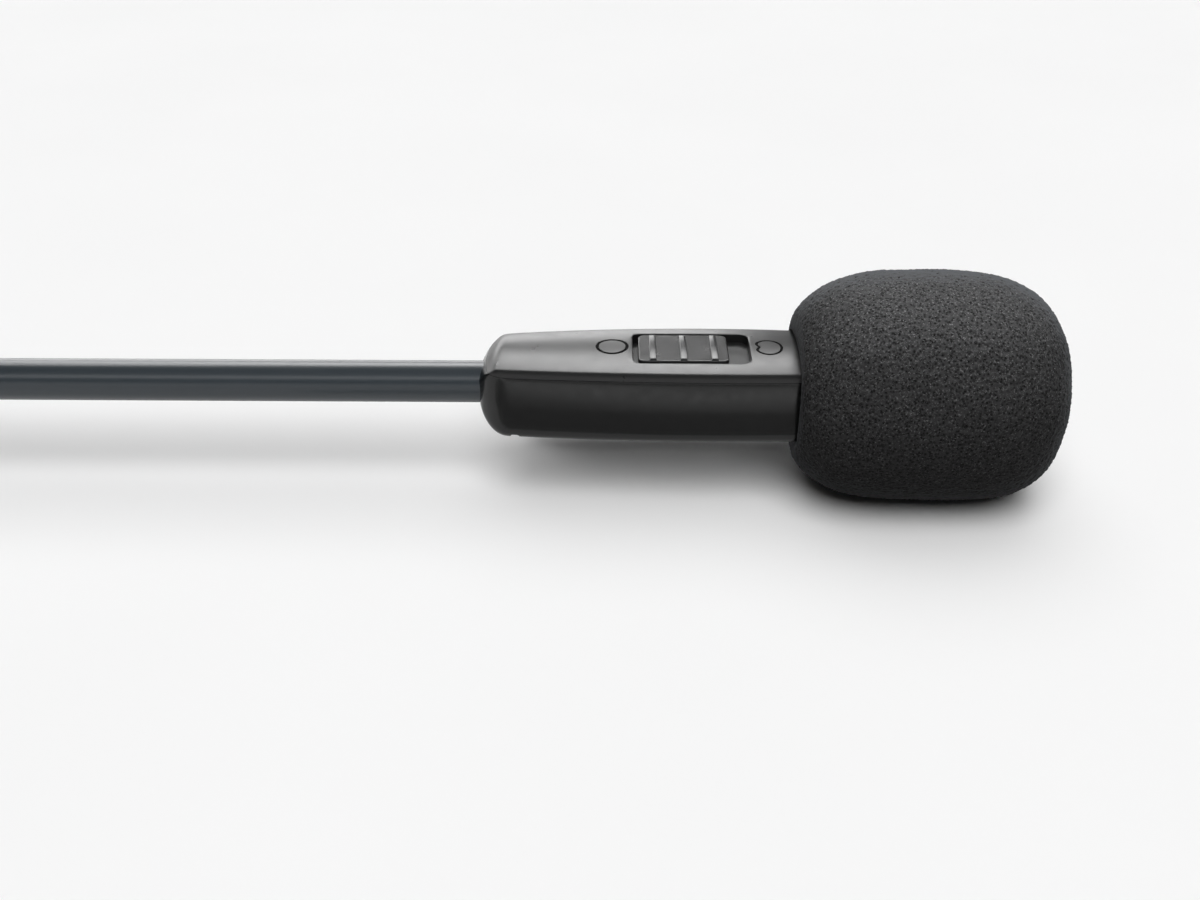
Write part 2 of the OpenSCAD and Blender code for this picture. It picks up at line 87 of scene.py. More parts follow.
HEAD_LENGTH = 49.5
FRONT_X = box_mm("housing_body")[1][0]
REAR_X = FRONT_X - HEAD_LENGTH
KNOB_LOW, KNOB_HIGH = box_mm("slide_knob")
CAP_X = box_mm("grille_cap")[1][0]
SLEEVE_LOW, SLEEVE_HIGH = box_mm("neck_sleeve")
NECK_R = SLEEVE_HIGH[1]

# ---------- Housing form ----------

TOP_HALF_W = 7.34
EDGE_Z = 4.98
CROWN = 0.78
BELLY = 6.15
BEVEL_OUT = 0.24
BEVEL_DROP = 0.95
SIDE_BULGE = 0.12
SIDE_MID_Z = 0.2
WIDEST_X = REAR_X + 32.9
WIDTH_CURVE = 0.00176
TALLEST_X = REAR_X + 27.9
HEIGHT_CURVE = 0.00037

# The nose's rounding: how far it reaches from the rear tip, and the share of the full size at the tip.
NOSE_SIDE = (4.7, 0.225)
NOSE_BELLY = (3.95, 0.12)
NOSE_TOP = (7.5, 0.05)
CREASE_D = 3.05
CREASE_EASE = 0.55
NOSE_END = 4.8


def half_w(x):
    """Half width of the top face."""
    return TOP_HALF_W - WIDTH_CURVE * (x - WIDEST_X) ** 2


def edge_z(x):
    """Height of the top face's long edges."""
    return EDGE_Z - HEIGHT_CURVE * (x - TALLEST_X) ** 2


def rounding(d, length, least):
    """Share of its full size that the section has at a distance d from the rear tip."""
    return 1.0 if d >= length else least + (1 - least) * math.sqrt(max(0, 1 - (1 - d / length) ** 2))


def nose_top(d):
    """The top falls away behind a crease, which is eased over about a millimetre."""
    at_crease = rounding(CREASE_D, *NOSE_TOP)
    if d <= 0.6:
        return rounding(d, *NOSE_TOP) / at_crease
    steps = np.linspace(-CREASE_EASE, CREASE_EASE, 9)
    return sum([min(1.0, rounding(d + step, *NOSE_TOP) / at_crease) for step in steps]) / len(steps)


def top_z(x, y):
    """Height of the crowned top face."""
    return edge_z(x) + CROWN * (1 - (y / half_w(x)) ** 2)


def resample(points, count, knee=None):
    """The same polyline with evenly spaced points; with a knee, two fifths of them end at that share of it."""
    points = np.array(points, float)
    steps = np.linalg.norm(np.diff(points, axis=0), axis=1)
    along = np.concatenate([[0], np.cumsum(steps)])
    at = np.linspace(0, along[-1], count)
    if knee:
        first = int(count * 0.4)
        at[:first + 1] = np.linspace(0, knee * along[-1], first + 1)
        at[first:] = np.linspace(knee * along[-1], along[-1], count - first)
    return np.stack([np.interp(at, along, points[:, k]) for k in range(points.shape[1])], 1)


def half_section(x, grow=0.0):
    """Right half of the section at x, from the middle of its top to the middle of its belly, with eased corners,
    and the share of its length at which the top face ends."""
    w, h = half_w(x) + grow, edge_z(x) + grow
    full = w + BEVEL_OUT + SIDE_BULGE
    pts = [(w * t, h + CROWN * (1 - t * t)) for t in np.linspace(0, 1, 20)]
    top_length = np.linalg.norm(np.diff(np.array(pts), axis=0), axis=1).sum()
    pts.append((w + BEVEL_OUT, h - BEVEL_DROP))
    for t in np.linspace(0.12, 1, 60):
        a = math.pi / 2 * t ** 4 / (t ** 4 + (1 - t) ** 4)
        down = (SIDE_MID_Z + BELLY + grow) * math.sin(a) ** 0.25
        pts.append((full * max(0.0, math.cos(a)) ** 0.25, SIDE_MID_Z - down))
    knee = top_length / np.linalg.norm(np.diff(np.array(pts), axis=0), axis=1).sum()
    fine = resample(pts, 400)
    for _ in range(18):
        fine[1:-1] = 0.5 * fine[1:-1] + 0.25 * (fine[:-2] + fine[2:])
    return fine, knee


def section_ring(x, count=176, grow=0.0):
    """The closed section at x as count points, with the nose's rounding applied."""
    line, knee = half_section(x, grow)
    half = resample(line, count // 2 + 1, knee)
    ring = np.concatenate([half, half[-2:0:-1] * [-1, 1]])
    d = x - REAR_X
    height = np.where(ring[:, 1] > 0, nose_top(d), rounding(d, *NOSE_BELLY))
    return np.stack([ring[:, 0] * rounding(d, *NOSE_SIDE), ring[:, 1] * height], 1)


# ---------- Mesh helpers ----------


def new_object(name, verts_mm, faces, smooth=True):
    mesh = bpy.data.meshes.new(name)
    mesh.from_pydata([tuple(float(c) * MM for c in v) for v in verts_mm], [], faces)
    mesh.validate()
    obj = bpy.data.objects.new(name, mesh)
    bpy.context.scene.collection.objects.link(obj)
    if smooth:
        mesh.polygons.foreach_set("use_smooth", [True] * len(mesh.polygons))
    return obj


def loft(name, rings, smooth=True):
    """A closed solid through rings of equal point counts, with a flat cap at each end."""
    rings = [np.asarray(r, float) for r in rings]
    count = len(rings[0])
    verts = np.concatenate(rings)
    faces = []
    for i in range(len(rings) - 1):
        for j in range(count):
            k = (j + 1) % count
            a, b = i * count, (i + 1) * count
            faces.append((a + j, a + k, b + k, b + j))
    last = (len(rings) - 1) * count
    faces.append(tuple(range(count))[::-1])
    faces.append(tuple(last + j for j in range(count)))
    return new_object(name, verts, faces, smooth)


def recalc(obj):
    """Points every face outwards."""
    bm = bmesh.new()
    bm.from_mesh(obj.data)
    bmesh.ops.recalc_face_normals(bm, faces=bm.faces)
    bm.to_mesh(obj.data)
    bm.free()
    return obj


def apply_modifiers(obj):
    """Bakes obj's modifiers into its mesh."""
    bpy.context.view_layer.update()
    graph = bpy.context.evaluated_depsgraph_get()
    mesh = bpy.data.meshes.new_from_object(obj.evaluated_get(graph))
    obj.modifiers.clear()
    obj.data = mesh
    return obj


def cut(obj, *tools, operation="DIFFERENCE"):
    """Cuts each tool out of obj, or joins it on, and throws the tool away."""
    for tool in tools:
        recalc(tool)
        mod = obj.modifiers.new("cut", "BOOLEAN")
        mod.operation = operation
        mod.solver = "EXACT"
        mod.object = tool
        apply_modifiers(obj)
        if not obj.data.polygons:
            raise RuntimeError(f"{tool.name} left nothing of {obj.name}")
        bpy.data.objects.remove(tool)
    return obj


def clean(obj):
    """Removes the slivers that cutting leaves."""
    bm = bmesh.new()
    bm.from_mesh(obj.data)
    bmesh.ops.remove_doubles(bm, verts=bm.verts, dist=0.004 * MM)
    bmesh.ops.dissolve_degenerate(bm, edges=bm.edges, dist=0.004 * MM)
    bm.to_mesh(obj.data)
    bm.free()
    return obj


def sharpen(obj, degrees=32):
    """Smooth shading, with creases at edges sharper than the angle given."""
    obj.data.polygons.foreach_set("use_smooth", [True] * len(obj.data.polygons))
    obj.data.set_sharp_from_angle(angle=math.radians(degrees))
    return obj


def copy_of(obj, name):
    other = obj.copy()
    other.data = obj.data.copy()
    other.name = name
    bpy.context.scene.collection.objects.link(other)
    return other


def turned(name, outline, count=96):
    """A solid of revolution about X from (x, radius) points; the first and last lie on the axis."""
    rings = []
    for x, r in outline:
        a = np.linspace(0, 2 * math.pi, count, endpoint=False)
        rings.append(np.stack([np.full(count, x), r * np.cos(a), r * np.sin(a)], 1))
    return loft(name, rings)


def rounded_outline(x0, x1, half, corner, per_corner=8):
    """A rounded rectangle in XY, counter-clockwise."""
    pts = []
    for cx, cy, start in (
        (x1 - corner, half - corner, 0), (x0 + corner, half - corner, 90),
        (x0 + corner, corner - half, 180), (x1 - corner, corner - half, 270),
    ):
        for a in np.radians(np.linspace(start, start + 90, per_corner)):
            pts.append((cx + corner * math.cos(a), cy + corner * math.sin(a)))
    return dense_outline(np.array(pts), 0.35)


def dense_outline(pts, step):
    """A closed outline with its long sides divided, so that it can follow a curved surface."""
    out = []
    for a, b in zip(pts, np.roll(pts, -1, axis=0)):
        parts = max(1, int(np.linalg.norm(b - a) / step))
        out += [a + (b - a) * k / parts for k in range(parts)]
    return np.array(out)


def grown(outline, by):
    """A closed outline moved outwards."""
    ahead = np.roll(outline, -1, axis=0) - np.roll(outline, 1, axis=0)
    normal = np.stack([ahead[:, 1], -ahead[:, 0]], 1)
    normal /= np.linalg.norm(normal, axis=1)[:, None]
    return outline + by * normal


def on_top(outline, rise):
    """XY points lifted onto the crowned top face."""
    return np.array([(x, y, top_z(x, y) + rise) for x, y in outline])


def at_z(outline, z):
    return np.array([(x, y, z) for x, y in outline])


def groove(name, path, radius=0.25, sink=0.08, sides=10):
    """A closed round bar along an XY path on the top face, for cutting an engraved line."""
    points = on_top(path, -sink)
    ahead = np.roll(points, -1, axis=0) - np.roll(points, 1, axis=0)
    ahead /= np.linalg.norm(ahead, axis=1)[:, None]
    side = np.cross(ahead, [0, 0, 1])
    side /= np.linalg.norm(side, axis=1)[:, None]
    up = np.cross(side, ahead)
    verts, faces = [], []
    for p, s, u in zip(points, side, up):
        for a in np.linspace(0, 2 * math.pi, sides, endpoint=False):
            verts.append(p + radius * (math.cos(a) * s + math.sin(a) * u))
    n = len(points)
    for i in range(n):
        for j in range(sides):
            i2, j2 = (i + 1) % n, (j + 1) % sides
            faces.append((i * sides + j, i * sides + j2, i2 * sides + j2, i2 * sides + j))
    return new_object(name, verts, faces)


# ---------- Materials ----------


class Nodes:
    """A material's node tree, with short calls to add and join nodes."""

    def __init__(self, name):
        self.material = bpy.data.materials.new(name)
        self.material.use_nodes = True
        self.tree = self.material.node_tree
        self.shader = self.tree.nodes["Principled BSDF"]
        self.place = self.add("ShaderNodeTexCoord").outputs["Object"]

    def add(self, kind, **values):
        node = self.tree.nodes.new(kind)
        for key, value in values.items():
            if key in node.inputs:
                node.inputs[key].default_value = value
            else:
                setattr(node, key, value)
        return node

    def join(self, a, b):
        self.tree.links.new(a, b)
        return b

    def stretched(self, scale):
        """The object's coordinates, scaled per axis."""
        mapping = self.add("ShaderNodeMapping")
        mapping.inputs["Scale"].default_value = scale
        self.join(self.place, mapping.inputs["Vector"])
        return mapping.outputs["Vector"]

    def noise(self, size_mm, detail=2.0, stretch=None, rough=0.5):
        """Noise with features of about size_mm."""
        node = self.add("ShaderNodeTexNoise", Scale=1 / (size_mm * MM), Detail=detail, Roughness=rough)
        self.join(self.stretched(stretch) if stretch else self.place, node.inputs["Vector"])
        return node.outputs["Fac"]

    def cells(self, size_mm, feature="F1"):
        node = self.add("ShaderNodeTexVoronoi", Scale=1 / (size_mm * MM))
        node.feature = feature
        self.join(self.place, node.inputs["Vector"])
        return node.outputs["Distance"]

    def ramp(self, fac, stops):
        """A colour ramp; stops are (position, grey or colour)."""
        node = self.add("ShaderNodeValToRGB")
        elements = node.color_ramp.elements
        for i, (at, value) in enumerate(stops):
            element = elements[i] if i < 2 else elements.new(at)
            element.position = at
            colour = value if isinstance(value, (tuple, list)) else (value, value, value)
            element.color = (*colour, 1)
        self.join(fac, node.inputs["Fac"])
        return node.outputs["Color"]

    def mix(self, fac, a, b, blend="MIX"):
        node = self.add("ShaderNodeMix", data_type="RGBA", blend_type=blend)
        for value, socket in ((fac, node.inputs[0]), (a, node.inputs[6]), (b, node.inputs[7])):
            if hasattr(value, "default_value"):
                self.join(value, socket)
            elif isinstance(value, (tuple, list)):
                socket.default_value = (*value, 1)
            else:
                socket.default_value = value
        return node.outputs[2]

    def math(self, operation, a, b=0.0):
        node = self.add("ShaderNodeMath", operation=operation)
        for value, socket in ((a, node.inputs[0]), (b, node.inputs[1])):
            if hasattr(value, "default_value"):
                self.join(value, socket)
            else:
                socket.default_value = value
        return node.outputs[0]

    def facing(self, blend=0.5):
        return self.add("ShaderNodeLayerWeight", Blend=blend).outputs["Facing"]

    def bump(self, height, depth_mm, strength=1.0):
        node = self.add("ShaderNodeBump", Strength=strength, Distance=depth_mm * MM)
        self.join(height, node.inputs["Height"])
        self.join(node.outputs["Normal"], self.shader.inputs["Normal"])

    def set(self, **values):
        for key, value in values.items():
            socket = self.shader.inputs[key.replace("_", " ")]
            if hasattr(value, "links") or hasattr(value, "is_output"):
                self.join(value, socket)
            elif isinstance(value, (tuple, list)):
                socket.default_value = (*value, 1)
            else:
                socket.default_value = value
        return self


def plastic(name, colour, rough, grain_mm=0.12, grain_depth=0.004, patchy=0.12, coat=0.0):
    """Moulded plastic: fine spark grain, with faint patches of colour and shine."""
    m = Nodes(name)
    patches = m.noise(5.0, detail=4)
    darker = tuple(c * (1 - patchy) for c in colour)
    lighter = tuple(c * (1 + patchy) for c in colour)
    base = m.mix(patches, darker, lighter)
    shine = m.math("ADD", m.math("MULTIPLY", m.noise(1.6, detail=3), 0.12), rough - 0.06)
    m.set(Base_Color=base, Roughness=shine, Coat_Weight=coat, Specular_IOR_Level=0.35)
    m.bump(m.noise(grain_mm, detail=2), grain_depth)
    return m.material


def metal(name, colour, rough, brushed=None, patchy=0.08, metallic=1.0, grain_depth=0.003):
    """Metal with fine lines along or round X, or a fine blast where brushed is None."""
    m = Nodes(name)
    grain = m.noise(0.12, detail=3, stretch=brushed) if brushed else m.noise(0.15, detail=3)
    darker = tuple(c * (1 - patchy) for c in colour)
    lighter = tuple(c * (1 + patchy) for c in colour)
    base = m.mix(m.noise(4.0, detail=4), darker, lighter)
    shine = m.math("ADD", m.math("MULTIPLY", grain, 0.16), rough - 0.08)
    m.set(Base_Color=base, Metallic=metallic, Roughness=shine)
    m.bump(grain, grain_depth)
    return m.material


def foam_material():
    """Open-cell foam: near-black pits, struts with fine light specks; painted shade makes it darker below, and a
    painted rim sheen makes it paler where it turns away.
    """
    m = Nodes("foam")
    cell = m.cells(0.45)
    grain = m.noise(0.34, detail=5, rough=0.75)
    struts = m.ramp(m.math("ADD", cell, m.math("MULTIPLY", grain, 0.6)), [(0.45, 0.0), (0.9, 1.0)])
    specks = m.ramp(m.noise(0.24, detail=3, rough=0.8), [(0.56, 0.0), (0.68, 1.0)])
    tone = m.mix(struts, (0.003, 0.003, 0.003), (0.024, 0.024, 0.0245))
    tone = m.mix(m.math("MULTIPLY", specks, 0.6), tone, (0.15, 0.15, 0.151))
    # Painted shade: the colour is scaled by how far the surface faces up, lightest on top and darkest below.
    height = m.add("ShaderNodeSeparateXYZ")
    m.join(m.add("ShaderNodeNewGeometry").outputs["Normal"], height.inputs[0])
    upward = m.math("ADD", m.math("MULTIPLY", height.outputs["Z"], 0.5), 0.5)
    painted_top_light = m.ramp(upward, [(0.15, 0.07), (0.5, 0.22), (0.8, 0.45), (1.0, 1.0)])
    tone = m.mix(1.0, tone, m.mix(1.0, painted_top_light, (3.6, 3.6, 3.6), blend="MULTIPLY"), blend="MULTIPLY")
    # Painted rim sheen: a paler colour is mixed in where the surface turns away, strongest on top.
    rim = m.math("MULTIPLY", m.ramp(m.facing(0.35), [(0.4, 0.0), (0.95, 1.0)]), m.math("MULTIPLY", painted_top_light, 2.6))
    tone = m.mix(rim, tone, (0.115, 0.120, 0.128))
    m.set(Base_Color=tone, Roughness=0.95, Specular_IOR_Level=0.12)
    m.bump(m.math("ADD", cell, grain), 0.16, 0.9)
    return m.material


def ink_material():
    """Dead-matt black paint, for the printed signs."""
    m = Nodes("ink")
    base = m.mix(m.noise(0.6), (0.004, 0.004, 0.004), (0.007, 0.007, 0.007))
    m.set(Base_Color=base, Roughness=0.9, Specular_IOR_Level=0.05)
    return m.material


def neck_material():
    """Slate-grey satin sleeve, drawn along its length."""
    m = Nodes("neck_sleeve")
    lines = m.noise(0.12, detail=3, stretch=(0.02, 1, 1))
    base = m.mix(m.noise(6.0, detail=3), (0.022, 0.029, 0.035), (0.027, 0.034, 0.041))
    shine = m.math("ADD", m.math("MULTIPLY", lines, 0.08), 0.27)
    m.set(Base_Color=base, Roughness=shine, Specular_IOR_Level=0.5)
    m.bump(lines, 0.0015)
    return m.material


def rubber(name, colour):
    m = Nodes(name)
    base = m.mix(m.noise(2.5, detail=4), tuple(c * 0.8 for c in colour), tuple(c * 1.35 for c in colour))
    m.set(Base_Color=base, Roughness=0.62, Specular_IOR_Level=0.4)
    m.bump(m.noise(0.18, detail=3), 0.012)
    return m.material


def felt_material():
    m = Nodes("acoustic_felt")
    base = m.mix(m.noise(0.3, detail=5), (0.05, 0.05, 0.052), (0.13, 0.13, 0.135))
    m.set(Base_Color=base, Roughness=0.95, Sheen_Weight=0.4)
    m.bump(m.noise(0.25, detail=5), 0.06)
    return m.material


def floor_material():
    m = Nodes("floor")
    base = m.mix(m.noise(60, detail=2), (0.90, 0.90, 0.90), (0.93, 0.93, 0.93))
    m.set(Base_Color=base, Roughness=0.9, Specular_IOR_Level=0.0)
    return m.material


ROUND_X = (1, 0.03, 0.03)
ALONG_X = (0.03, 1, 1)
MATERIALS = {
    "satin_nickel": metal("satin_nickel", (0.30, 0.31, 0.33), 0.34, brushed=ROUND_X),
    "screw_steel": metal("screw_steel", (0.28, 0.29, 0.31), 0.32),
    "black_insulator": plastic("black_insulator", (0.018, 0.018, 0.019), 0.48),
    "contact_brass": metal("contact_brass", (0.80, 0.62, 0.33), 0.24, brushed=ALONG_X),
    "base_black": metal("base_black", (0.035, 0.037, 0.042), 0.40, metallic=0.35, grain_depth=0.006),
    "seal_rubber": rubber("seal_rubber", (0.022, 0.022, 0.023)),
    "board_green": plastic("board_green", (0.02, 0.12, 0.06), 0.32, grain_mm=0.5, patchy=0.25, coat=0.3),
    "component_black": plastic("component_black", (0.035, 0.035, 0.038), 0.5),
    "wire_jacket": plastic("wire_jacket", (0.40, 0.05, 0.04), 0.4, grain_mm=0.3),
    "neck_sleeve": neck_material(),
    "cable_black": rubber("cable_black", (0.02, 0.02, 0.02)),
    "coil_steel": metal("coil_steel", (0.50, 0.51, 0.53), 0.30, brushed=ROUND_X),
    "cover_satin": plastic("cover_satin", (0.012, 0.012, 0.0122), 0.30, grain_mm=0.10, grain_depth=0.002),
    "housing_satin": plastic("housing_satin", (0.004, 0.0042, 0.0041), 0.17, grain_mm=0.10, grain_depth=0.0008),
    "knob_grey": plastic("knob_grey", (0.016, 0.016, 0.0163), 0.25, grain_mm=0.10, grain_depth=0.0015),
    "switch_base": plastic("switch_base", (0.20, 0.12, 0.07), 0.55, grain_mm=0.4, patchy=0.3),
    "capsule_metal": metal("capsule_metal", (0.62, 0.63, 0.64), 0.28, brushed=ROUND_X),
    "acoustic_felt": felt_material(),
    "grille_black": metal("grille_black", (0.05, 0.052, 0.055), 0.38, metallic=0.6, grain_depth=0.006),
    "foam": foam_material(),
    "ink": ink_material(),
}


def paint(obj, slot_name):
    obj.data.materials.clear()
    obj.data.materials.append(MATERIALS[slot_name])
    return obj


# ---------- Head housing ----------

SEAM_GAP = 0.04
POCKET_X0 = KNOB_LOW[0] - 0.76
POCKET_X1 = POCKET_X0 + 16.35
POCKET_HALF = 4.5
POCKET_FLOOR = 4.15
OMNI_X = REAR_X + 18.9
CARDIOID_X = REAR_X + 40.8
ICON_R = 2.1
WALL = 1.2


def housing_solid(name, grow=0.0, x0=0.0, x1=0.0):
    """The housing's outer form; with a negative grow, the room inside it."""
    start, end = REAR_X + x0, FRONT_X - x1
    tip = CREASE_D * (1 - np.cos(np.linspace(0, math.pi / 2, 22)))
    nose = REAR_X + np.concatenate([tip, np.linspace(CREASE_D, NOSE_END, 9)[1:]])
    rest = np.linspace(REAR_X + NOSE_END, end, 54)[1:]
    rings = []
    for x in [start, *nose[nose > start + 0.01], *rest]:
        ring = section_ring(x, grow=grow)
        rings.append(np.column_stack([np.full(len(ring), x), ring]))
    return loft(name, rings)


def above_seam(name, lift):
    """A block over the line where the cover meets the body."""
    rings = []
    for x in np.linspace(REAR_X - 1, FRONT_X + 1, 30):
        z = edge_z(x) - BEVEL_DROP - 0.03 + lift
        rings.append([(x, -12, z), (x, 12, z), (x, 12, 12), (x, -12, 12)])
    return loft(name, rings, smooth=False)


def pocket_tool():
    """Cuts the switch's pocket, with an eased rim that follows the crowned face."""
    outline = rounded_outline(POCKET_X0, POCKET_X1, POCKET_HALF, 1.3)
    rings = [at_z(outline, POCKET_FLOOR)]
    for grow, rise in ((0, -0.2), (0.02, -0.1), (0.07, -0.03), (0.16, 0.004), (0.2, 0.5)):
        rings.append(on_top(grown(outline, grow), rise))
    return loft("pocket_tool", rings)


def stem_slot_tool():
    mid = (KNOB_LOW[0] + KNOB_HIGH[0]) / 2
    outline = rounded_outline(mid - 2.25, mid + 2 + 2.8 + 0.25, 1.7, 0.4)
    return loft("slot_tool", [at_z(outline, 1.0), at_z(outline, POCKET_FLOOR + 0.5)])


def ring_path(x, radius, count=72):
    a = np.linspace(0, 2 * math.pi, count, endpoint=False)
    return np.stack([x + radius * np.cos(a), radius * np.sin(a)], 1)


def heart_path(x, count=96):
    """The one-sided pattern's sign: a circle with a small notch on the side that faces the switch."""
    pts = []
    for a in np.linspace(0, 2 * math.pi, count, endpoint=False):
        away = math.pi - abs(a - math.pi)
        r = 1.88 - 0.62 * math.exp(-((math.pi - away) / 0.34) ** 2)
        pts.append((x + r * math.cos(a), r * 1.12 * math.sin(a)))
    return np.array(pts)


def build_housing():
    cavity = housing_solid("cavity", grow=-WALL, x0=2.4, x1=WALL)
    full = recalc(housing_solid("housing_shell"))
    cover = copy_of(full, "cover_shell")
    recalc(cavity)
    cut(cover, above_seam("over", SEAM_GAP / 2), operation="INTERSECT")
    cut(full, above_seam("over", -SEAM_GAP / 2))
    cut(cover, copy_of(cavity, "cavity_copy"))
    cut(full, cavity)
    floor = turned("hole", [(FRONT_X - 4, 4.55), (FRONT_X + 1, 4.55)], 64)
    cut(full, floor)
    cut(full, turned("neck_hole", [(REAR_X - 1, NECK_R + 0.05), (REAR_X + 4, NECK_R + 0.05)], 64))
    shelf = loft("shelf", [
        at_z(rounded_outline(POCKET_X0 - 1, POCKET_X1 + 1, 5.2, 1), 3.0),
        at_z(rounded_outline(POCKET_X0 - 1, POCKET_X1 + 1, 5.2, 1), 4.9),
    ])
    cut(cover, shelf, operation="UNION")
    cut(cover, pocket_tool(), stem_slot_tool())
    cut(cover, groove("ring_line", ring_path(OMNI_X, ICON_R)))
    cut(cover, groove("heart_line", heart_path(CARDIOID_X), 0.22))
    for name, path in (("ring_ink", ring_path(OMNI_X, ICON_R)), ("heart_ink", heart_path(CARDIOID_X))):
        ink = recalc(groove(name, path, 0.30, 0.25))
        ink.data.materials.append(MATERIALS["ink"])
        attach(ink, "head")
        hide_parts("top_cover")
    for x0, x1, depth in ((4.6, 8.3, 0.5), (4.6, 5.9, 0.9)):
        profile = rounded_outline(REAR_X + x0, REAR_X + x1, depth, min(depth, 0.4) * 0.99)
        cut(full, loft("rear_cut", [[(p[0], y, p[1] - BELLY) for p in profile] for y in np.linspace(-9, 9, 9)]))
    for x in (REAR_X + 11.2, REAR_X + 42.4):
        a = np.linspace(0, 2 * math.pi, 40, endpoint=False)
        well = np.stack([x + 1.6 * np.cos(a), 1.6 * np.sin(a)], 1)
        cut(full, loft("screw_well", [at_z(well, -BELLY - 1), at_z(well, -BELLY + 0.9)]))
    for piece, node, slot_name in ((cover, "top_cover", "cover_satin"), (full, "housing_body", "housing_satin")):
        sharpen(clean(piece), 28)
        paint(piece, slot_name)
        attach(piece, "head")
        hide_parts(node)


build_housing()

# ---------- Slide knob ----------


def bevelled_plate(name, x0, x1, half, corner, z0, z1, ease):
    """A plate with rounded corners and an eased top edge."""
    outline = rounded_outline(x0, x1, half, corner)
    rings = [at_z(outline, z0), at_z(outline, z1 - ease)]
    for a in np.radians([30, 60, 90]):
        rings.append(at_z(grown(outline, -ease * (1 - math.cos(a))), z1 - ease + ease * math.sin(a)))
    rings.append(at_z(grown(outline, -ease - 0.08), z1))
    return loft(name, rings)


def rib(name, x, half, z0, z1, width=0.98, ease=0.14, crown=0.3):
    """A cross rib with eased edges, rounded ends and a back that falls away towards both ends."""
    arc = [(width / 2, z0)]
    for a in np.radians(np.linspace(0, 180, 13)):
        side = (width / 2 - ease) * np.sign(round(math.cos(a), 6))
        arc.append((side + ease * math.cos(a), z1 - ease + ease * math.sin(a)))
    arc.append((-width / 2, z0))
    rings = []
    ends = [(0, 0.3), (0.1, 0.12), (0.3, 0.0)]
    middle = [(half + y, 0.0) for y in np.linspace(0.6 - half, half - 0.6, 11)]
    for step, drop in ends + middle + [(2 * half - step, drop) for step, drop in ends[::-1]]:
        y = step - half
        fall = drop + crown * (y / half) ** 2
        rings.append([(x + p[0], y, max(z0, p[1] - fall)) for p in arc])
    return loft(name, rings)


def build_knob():
    x0, x1 = KNOB_LOW[0], KNOB_HIGH[0]
    mid = (x0 + x1) / 2
    half = KNOB_HIGH[1]
    knob = recalc(bevelled_plate("slide_knob_shell", x0, x1, half, 0.95, 4.3, 5.5, 0.2))
    for i in (-1, 0, 1):
        cut(knob, rib("rib", mid + i * 4.28, half - 0.02, 4.6, KNOB_HIGH[2]), operation="UNION")
    stem = loft("stem", [at_z(rounded_outline(mid - 2, mid + 2, 1.5, 0.3), z) for z in (KNOB_LOW[2], 4.6)])
    cut(knob, stem, operation="UNION")
    sharpen(clean(knob), 40)
    paint(knob, "knob_grey")
    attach(knob, "polar_switch")
    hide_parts("slide_knob")


build_knob()

# ---------- Neck sleeve ----------


def tube_piece(name, x0, x1, radius, bore, sides=56, step=0.55):
    """A length of tube with crisp ends, so that two lengths meet with no visible joint."""
    xs = np.linspace(x0, x1, max(2, int((x1 - x0) / step) + 1))
    a = np.linspace(0, 2 * math.pi, sides, endpoint=False)
    rings = [np.stack([np.full(sides, x), radius * np.cos(a), radius * np.sin(a)], 1) for x in xs]
    rings += [np.stack([np.full(sides, x), bore * np.cos(a), bore * np.sin(a)], 1) for x in xs[::-1]]
    verts = np.concatenate(rings)
    faces = []
    total = len(rings)
    for i in range(total):
        for j in range(sides):
            k, n = (j + 1) % sides, (i + 1) % total
            faces.append((i * sides + j, n * sides + j, n * sides + k, i * sides + k))
    obj = recalc(new_object(name, verts, faces))
    obj.data.set_sharp_from_angle(angle=math.radians(50))
    return obj


def bent_places(hinges):
    """Where the neck's bodies are, from the base to the head, with every hinge at its upper limit."""
    places = [np.eye(4)]
    for joint in hinges:
        x, y, z = joint["axis"]
        angle = math.radians(joint["range_deg"][1])
        cross = np.array([[0, -z, y], [z, 0, -x], [-y, x, 0]], float)
        step = np.eye(4)
        step[:3, :3] += math.sin(angle) * cross + (1 - math.cos(angle)) * cross @ cross
        step[:3, 3] = joint["pos_m"] - step[:3, :3] @ joint["pos_m"]
        places.append(places[-1] @ step)
    return [np.round(place, 9).astype(np.float32).astype(float) for place in places]


def pivot_reach(a, b):
    """How far from the origin the pivot comes out, when a piece bends from a body placed at a to one placed at b."""
    move = np.linalg.inv(a) @ b
    turn, shift = move[:3, :3], move[:3, 3]
    axis = np.array([turn[2, 1] - turn[1, 2], turn[0, 2] - turn[2, 0], turn[1, 0] - turn[0, 1]])
    axis /= np.linalg.norm(axis)
    across = shift - (shift @ axis) * axis
    return np.linalg.norm(np.linalg.lstsq(np.eye(3) - turn, across, rcond=None)[0])


